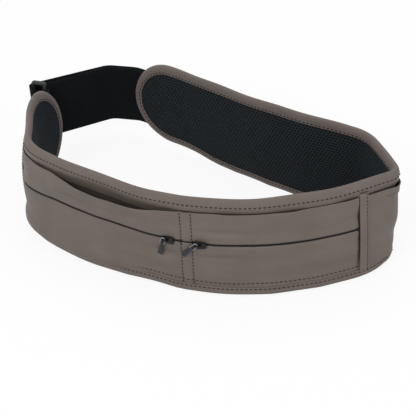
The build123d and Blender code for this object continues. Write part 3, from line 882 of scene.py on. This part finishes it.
    def build(self) -> None:
        """Makes the pocket fronts, their zips and their seams."""
        self.upper_panel()
        self.back_wall()
        self.lower_panel()
        ends = {"left": (self.belt.pockets_start + 4, self.belt.divider - self.seam_half),
                "right": (self.belt.divider + self.seam_half, self.belt.pockets_end - 4)}
        for side, (s0, s1) in ends.items():
            self.zip_tapes(side, s0, s1)
            self.coil(side, s0 + 1.7, s1 - 1.7)
        self.seams()

    def zip_tapes(self, side: str, s0: float, s1: float) -> None:
        """Makes the two tapes that carry one zip's coil.

        Args:
            side: Which pocket's zip.
            s0: The place of the tapes' left end.
            s1: The place of their right end.
        """
        s = np.arange(s0, s1, 2.5)
        for name, way in (("upper", 1), ("lower", -1)):
            z = self.belt.zip_z + way * np.linspace(self.slit / 2 - 0.2, 10.5, 6)
            wide, high = np.meshgrid(s, z, indexing="ij")
            piece = grid_piece(f"zip_tape_{name}_{side}",
                               self.belt.place(wide, high, self.wall(wide, high) - 1.2),
                               np.stack([wide, high], -1), BLACK_TAPE)
            dress(piece, "belt", "zip_tape", f"{side}_zip_tape_{name}")

    def coil(self, side: str, s0: float, s1: float, pitch: float = 1.25) -> None:
        """Makes one closed zip: two rows of coil turns that mesh in the middle.

        Args:
            side: Which pocket's zip.
            s0: The place of the first turn.
            s1: Where the turns end.
            pitch: Distance from turn to turn.
        """
        s = np.arange(s0, s1, pitch)
        points, faces = [], []
        for row, way in enumerate((1, -1)):
            at = s + row * pitch / 2
            z = np.full(len(at), self.belt.zip_z)
            d = self.wall(at[:, None], z[:, None])[:, 0] - 0.9
            points += [self.belt.place(at + ds, z + way * dz, d + dd) for dz in (-0.3, 1.7)
                       for ds, dd in ((-0.4, 0), (0, 0.35), (0.4, 0), (0, -0.4))]
        turns = len(s)
        cloud = np.concatenate(points)
        sides = [[0, 1, 5, 4], [1, 2, 6, 5], [2, 3, 7, 6], [3, 0, 4, 7], [0, 3, 2, 1], [4, 5, 6, 7]]
        for row in range(2):
            faces += [[(8 * row + v) * turns + i for v in quad]
                      for i in range(turns) for quad in sides]
        piece = make_object(f"{side}_coil_turns", cloud, faces, BLACK_COIL)
        dress(piece, "belt", "coil", f"{side}_zip_coil")

    def seams(self) -> None:
        """Sews the divider's two lines and the row above the lower binding."""
        belt = self.belt
        for side, way in (("left", -1), ("right", 1)):
            self.upright_row(f"divider_stitches_{side}", belt.divider + way * self.seam_half, 8.5,
                             belt.mouth_z - 1.5)
        s = np.arange(belt.divider - 60, belt.pockets_end - 5, 2.0)
        z = np.full(len(s), 12.2)
        face = self.wall(s[:, None], z[:, None])[:, 0]
        outer, under = (belt.place(s, z, face + d) for d in (0.05, -0.5))
        dress(stitches("lower_seam_stitches", outer, outer - under, radius=0.4), "belt", "nylon")

    def upright_row(self, name: str, s: float, low: float, high: float) -> None:
        """Sews one upright row of stitches through the pocket fronts.

        Args:
            name: The piece's name.
            s: The row's place.
            low: The height of its lower end.
            high: The height of its upper end.
        """
        z = np.arange(low, high, 1.5)
        z = z[abs(z - self.belt.zip_z) > 1.2]
        wide = np.full(len(z), s)
        face = self.wall(wide[:, None], z[:, None])[:, 0]
        outer, under = (self.belt.place(wide, z, face + d) for d in (0.08, -0.5))
        row = stitches(name, outer, outer - under, pitch=3.2, length=2.3, radius=0.45)
        dress(row, "belt", "nylon")


@dataclass
class SidePocket:
    """The plain slip pocket round the right corner, and the tapes that close the pockets' ends."""

    belt: Belt
    trim: float = 8.0

    def wall(self, s: np.ndarray, z: np.ndarray) -> np.ndarray:
        """The offset of the side pocket's face."""
        belt = self.belt
        wave = uneven(s, z, 26, 11, 4.3)
        crush = 0.8 * hump(s, 441, 9) * np.sin(z / 6.0)
        mouth = 1.6 * hump(s, 441, 7) * smooth(58, 76, z)
        return belt.front(s, z) - 0.3 + 0.5 * smooth(60, 76, z) + 1.1 * wave + crush + mouth

    def panel(self) -> None:
        """Makes the side pocket's front, with its hemmed mouth."""
        belt = self.belt
        s = np.arange(belt.pockets_end + 0.5, belt.side_end, 1.5)
        rows = np.concatenate([np.linspace(6.5, 75.5, 32), [76.3]])
        z = np.broadcast_to(rows, (len(s), len(rows)))
        wide = np.broadcast_to(s[:, None], z.shape)
        d = self.wall(wide, z)
        fold = [(76.5, -0.5), (76.2, -1.0), (72.0, -1.1), (69.0, -1.2)]
        fold_z = np.broadcast_to([row[0] for row in fold], (len(s), len(fold)))
        fold_d = d[:, -1:] + np.array([row[1] for row in fold])
        grid_s = np.broadcast_to(s[:, None], (len(s), len(rows) + len(fold)))
        grid_z = np.concatenate([z, fold_z], 1)
        grid = belt.place(grid_s, grid_z, np.concatenate([d, fold_d], 1))
        piece = grid_piece("side_pocket_cloth", grid, np.stack([grid_s, grid_z], -1), TAUPE_NYLON)
        thicken(piece, 0.4)
        dress(piece, "belt", "nylon", "side_pocket_panel")

    def end_tape(self, name: str, node: str, s: float, proud: float, low: float = 6.5,
                 high: float = 80.0) -> None:
        """Makes an upright folded tape over a pocket's end, stitched along its right edge.

        Args:
            name: The piece's name.
            node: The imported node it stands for.
            s: The place of its middle.
            proud: How far it stands off the pocket front.
            low: The height of its lower end.
            high: The height of its upper end.
        """
        belt, half = self.belt, self.trim / 2
        rows = [(-half + 0.3, -0.9), (-half, -0.3), (-half + 0.4, 0.35), (-half / 2, 0.5), (0, 0.5),
                (half / 2, 0.4), (half - 1.6, 0.2), (half - 0.6, 0.35), (half, 0.1), (half, -0.9)]
        z = np.linspace(low, high, 40)
        ds, dd = (np.array(column) for column in zip(*rows))
        wide = s + np.broadcast_to(ds, (len(z), len(rows)))
        tall = np.broadcast_to(z[:, None], wide.shape)
        d = belt.front(wide, tall) + proud + dd
        piece = grid_piece(name, belt.place(wide, tall, d), np.stack([tall, wide - s], -1),
                           TAUPE_TAPE)
        subdivide(piece)
        dress(piece, "belt", "binding", node)
        row = np.full(len(z), s + half - 1.7)
        outer, under = (belt.place(row, z, belt.front(row, z) + proud + k) for k in (0.3, -0.4))
        dress(stitches(f"{name}_stitches", outer, outer - under, pitch=3.2, length=2.2, radius=0.4),
              "belt", "binding")

    def build(self) -> None:
        """Makes the side pocket and the three end tapes."""
        self.panel()
        self.end_tape("right_end_tape", "right_trim", self.belt.pockets_end, 0.25)
        self.end_tape("left_end_tape", "left_trim", self.belt.pockets_start, 0.25)
        self.end_tape("rear_end_tape", "rear_trim", self.belt.side_end, 0.0)


@dataclass
class Strap:
    """The wide elastic strap: sewn to the right tip, through the ring and back on itself."""

    belt: Belt
    foot: float = 16.5
    head: float = 72.0
    thickness: float = 1.4
    end_setback: float = 4.5
    wrap_radius: float = 2.7
    bar: tuple[float, float] = (-150.525, 168.816)
    keeper_bar: tuple[float, float] = (-139.840, 164.842)
    keeper_shy: float = 2.75

    def ribbon(self, name: str, xy: np.ndarray, d: Sequence[float], finish: Finish,
               inset: float = 0.0) -> bpy.types.Object:
        """Makes a closed band along a plan path.

        Args:
            name: The piece's name.
            xy: The path's points.
            d: The offsets of its two faces, to the right of the path.
            finish: Its finish.
            inset: How far its edges lie inside the strap's.

        Returns:
            The object.
        """
        low, high = self.foot + inset, self.head - inset
        along = np.gradient(xy, axis=0)
        along /= np.linalg.norm(along, axis=1)[:, None]
        right = np.stack([along[:, 1], -along[:, 0]], 1)
        soft = 0.35 * (d[1] - d[0])
        z = np.linspace(low + soft, high - soft, 14)
        section = [(d[1], v) for v in z] + [(d[1] - soft, high), (d[0] + soft, high)]
        section += [(d[0], v) for v in z[::-1]] + [(d[0] + soft, low), (d[1] - soft, low)]
        offset, tall = (np.array(column) for column in zip(*section))
        grid = self.belt.to_frame(xy[:, None] + right[:, None] * offset[None, :, None],
                                  np.broadcast_to(tall, (len(xy), len(tall))))
        run = np.concatenate([[0], np.cumsum(np.linalg.norm(np.diff(xy, axis=0), axis=1))])
        cloth = np.stack(np.broadcast_arrays(run[:, None], tall[None, :]), -1)
        faces = grid_faces(len(xy), len(tall), close_columns=True).tolist()
        count, last = len(tall), (len(xy) - 1) * len(tall)
        faces += [list(range(count))[::-1], list(range(last, last + count))]
        return make_object(name, grid.reshape(-1, 3), faces, finish, cloth.reshape(-1, 2))

    def main_plan(self) -> PlanLine:
        """The inner face's path of the layer that is sewn to the right tip."""
        return PlanLine([(-20.229, 155.2627, 0.0), (-58.79, 185.56, 20.0), (-84.044, 192.708, 12.0),
                         (-148.916, 165.044, 0.0)])

    def tail_plan(self) -> PlanLine:
        """The inner face's path of the layer that is folded back."""
        return PlanLine([(-37.874, 173.357, 0.0), (-57.267, 188.576, 23.3), (-84.268, 196.2, 15.3),
                         (-151.461, 171.348, 0.0)])

    def build(self) -> None:
        """Makes both layers, their patches and the keeper of the ring."""
        main, tail = self.main_plan(), self.tail_plan()
        path = main.point(np.arange(0, main.length - self.end_setback, 2.0), 0.0)
        piece = self.ribbon("strap_front_layer", path, (0, self.thickness), BLACK_ELASTIC)
        dress(piece, "belt", "elastic", "strap_main")
        back = tail.point(np.arange(0, tail.length, 2.0), 0.0)
        start, sweep = radians(110.2975), radians(182.798)
        turns = start + np.linspace(0, sweep, 24)
        wrap = np.array(self.bar) + self.wrap_radius * np.stack([np.cos(turns), np.sin(turns)], 1)
        path = np.concatenate([back, wrap])
        piece = self.ribbon("strap_back_layer", path, (0, self.thickness), BLACK_ELASTIC)
        dress(piece, "tail", "elastic", "strap_tail")
        for name, body, node, face in (("loop_field", "belt", "loop_patch", 1.4),
                                       ("hook_field", "tail", "hook_patch", 2.5)):
            s = np.arange(29.0, 71.1, 2.0)
            piece = self.ribbon(name, main.point(s, face), (0, 0.8), BLACK_TAPE, inset=4.0)
            dress(piece, body, "hook_loop", node)
        self.keeper()

    def keeper(self) -> None:
        """Makes the webbing that is sewn to the left tip and holds the ring."""
        plan = self.belt.plan
        s = np.arange(26.0, 5.0, -1.5)
        bar = np.array(self.keeper_bar)
        flat = plan.point(s, 1.4)
        start = flat[-1]
        gap = bar - start
        radius = 3.0
        span = hypot(*gap)
        heading = atan2(gap[1], gap[0])
        turn = np.arcsin(radius / span)
        touch = heading + turn - pi / 2
        arc = touch + np.linspace(0, 1.9 * pi, 30)
        loop = bar + radius * np.stack([np.cos(arc), np.sin(arc)], 1)
        path = np.concatenate([flat, loop])
        piece = self.ribbon("ring_webbing", path, (-0.6, 0.6), BLACK_TAPE, self.keeper_shy)
        dress(piece, "belt", "webbing", "ring_keeper")


class Hardware(Enum):
    """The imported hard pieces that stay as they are, with their finishes."""

    LEFT_SLIDER = ("left_slider", BLACK_LACQUER)
    RIGHT_SLIDER = ("right_slider", BLACK_LACQUER)
    LEFT_EYE = ("left_pull_eye", BRIGHT_ZINC)
    RIGHT_EYE = ("right_pull_eye", BRIGHT_ZINC)
    LEFT_TAB = ("left_pull_tab", TAB_RUBBER)
    RIGHT_TAB = ("right_pull_tab", TAB_RUBBER)
    LEFT_STOPS = ("left_zip_stops", BLACK_LACQUER)
    RIGHT_STOPS = ("right_zip_stops", BLACK_LACQUER)
    RING = ("strap_ring", RING_PLASTIC)

    def dress(self) -> None:
        """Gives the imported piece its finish."""
        node, finish = self.value
        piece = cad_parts[node]
        for slot in piece.material_slots:
            slot.material = finish.make()


# ---- Studio ----
@dataclass
class Studio:
    """The plain floor, the soft light and the camera."""

    target: tuple[float, float, float] = (0.0, 0.0, 45.0)
    distance: float = 998.84
    pitch: float = 36.0
    roll: float = -3.62
    lens: float = 107.13

    def floor(self) -> None:
        """Lays a large plain floor."""
        half = 6.0
        z = CAD_BOX[0][2] - 0.0004
        points = [(-half, -half, z), (half, -half, z), (half, half, z), (-half, half, z)]
        material = bpy.data.materials.new("floor_paint")
        material.use_nodes = True
        tree = material.node_tree
        shader = tree.nodes["Principled BSDF"]
        shader.inputs["Base Color"].default_value = (0.93, 0.93, 0.93, 1)
        shader.inputs["Roughness"].default_value = 0.9
        shader.inputs["Specular IOR Level"].default_value = 0.1
        white = add_node(tree, "Emission", {"Color": (1, 1, 1, 1), "Strength": 1.0})
        seen = add_node(tree, "LightPath").outputs["Is Camera Ray"]
        share = maths(tree, "MULTIPLY", seen, 0.88)
        mix = add_node(tree, "MixShader", {0: share, 1: shader.outputs[0], 2: white.outputs[0]})
        tree.links.new(mix.outputs[0], tree.nodes["Material Output"].inputs[0])
        mesh = bpy.data.meshes.new("floor")
        mesh.from_pydata(points, [], [[0, 1, 2, 3]])
        mesh.materials.append(material)
        plane = bpy.data.objects.new("floor", mesh)
        bpy.context.scene.collection.objects.link(plane)

    def light(self) -> None:
        """Lights the belt from a bright room and three large soft boxes."""
        world = bpy.data.worlds.new("room")
        world.use_nodes = True
        tree = world.node_tree
        background = tree.nodes["Background"]
        rays = add_node(tree, "LightPath")
        seen = maths(tree, "MAXIMUM", rays.outputs["Is Camera Ray"], rays.outputs["Is Glossy Ray"])
        strength = maths(tree, "MULTIPLY_ADD", seen, 0.55, 0.45)
        tree.links.new(strength, background.inputs["Strength"])
        background.inputs["Color"].default_value = (1, 1, 1, 1)
        bpy.context.scene.world = world
        for name, place, size, power in (("key", (-0.9, -1.2, 1.6), 1.2, 19.0),
                                         ("fill", (1.4, -0.9, 1.0), 1.4, 7.0),
                                         ("top", (0.1, 0.7, 1.9), 1.6, 12.0)):
            lamp = bpy.data.lights.new(name, "AREA")
            lamp.energy, lamp.size = power, size
            box = bpy.data.objects.new(name, lamp)
            box.location = place
            ahead = Vector((0, 0, 0.04)) - Vector(place)
            box.rotation_euler = ahead.to_track_quat("-Z", "Y").to_euler()
            bpy.context.scene.collection.objects.link(box)

    def camera(self, belt: Belt) -> None:
        """Sets the camera at the viewing angle."""
        pitch = radians(self.pitch)
        target = Vector(belt.to_frame(np.array(self.target[:2]), np.array(self.target[2])).tolist())
        data = bpy.data.cameras.new("camera")
        data.sensor_width, data.lens = 36.0, self.lens
        camera = bpy.data.objects.new("camera", data)
        ahead = Vector((0, cos(pitch), -sin(pitch)))
        camera.location = target - ahead * self.distance * MM
        facing = ahead.to_track_quat("-Z", "Y").to_matrix()
        turn = radians(self.roll)
        right, up = facing.col[0].copy(), facing.col[1].copy()
        facing.col[0] = cos(turn) * right + sin(turn) * up
        facing.col[1] = cos(turn) * up - sin(turn) * right
        camera.rotation_euler = facing.to_euler()
        bpy.context.scene.collection.objects.link(camera)
        bpy.context.scene.camera = camera

    def build(self, belt: Belt) -> None:
        """Makes the whole studio."""
        self.camera(belt)
        self.floor()
        self.light()
        bpy.context.scene.view_settings.view_transform = "Standard"


def main() -> None:
    """Builds the studio and the belt's sub-assemblies, in order."""
    logging.basicConfig(level=logging.INFO, format="%(name)s: %(message)s")
    belt = Belt()
    Studio().build(belt)
    BodyCover(belt).build()
    FrontPockets(belt).build()
    SidePocket(belt).build()
    Strap(belt).build()
    for part in Hardware:
        part.dress()
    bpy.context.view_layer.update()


if __name__ == "__main__":
    main()
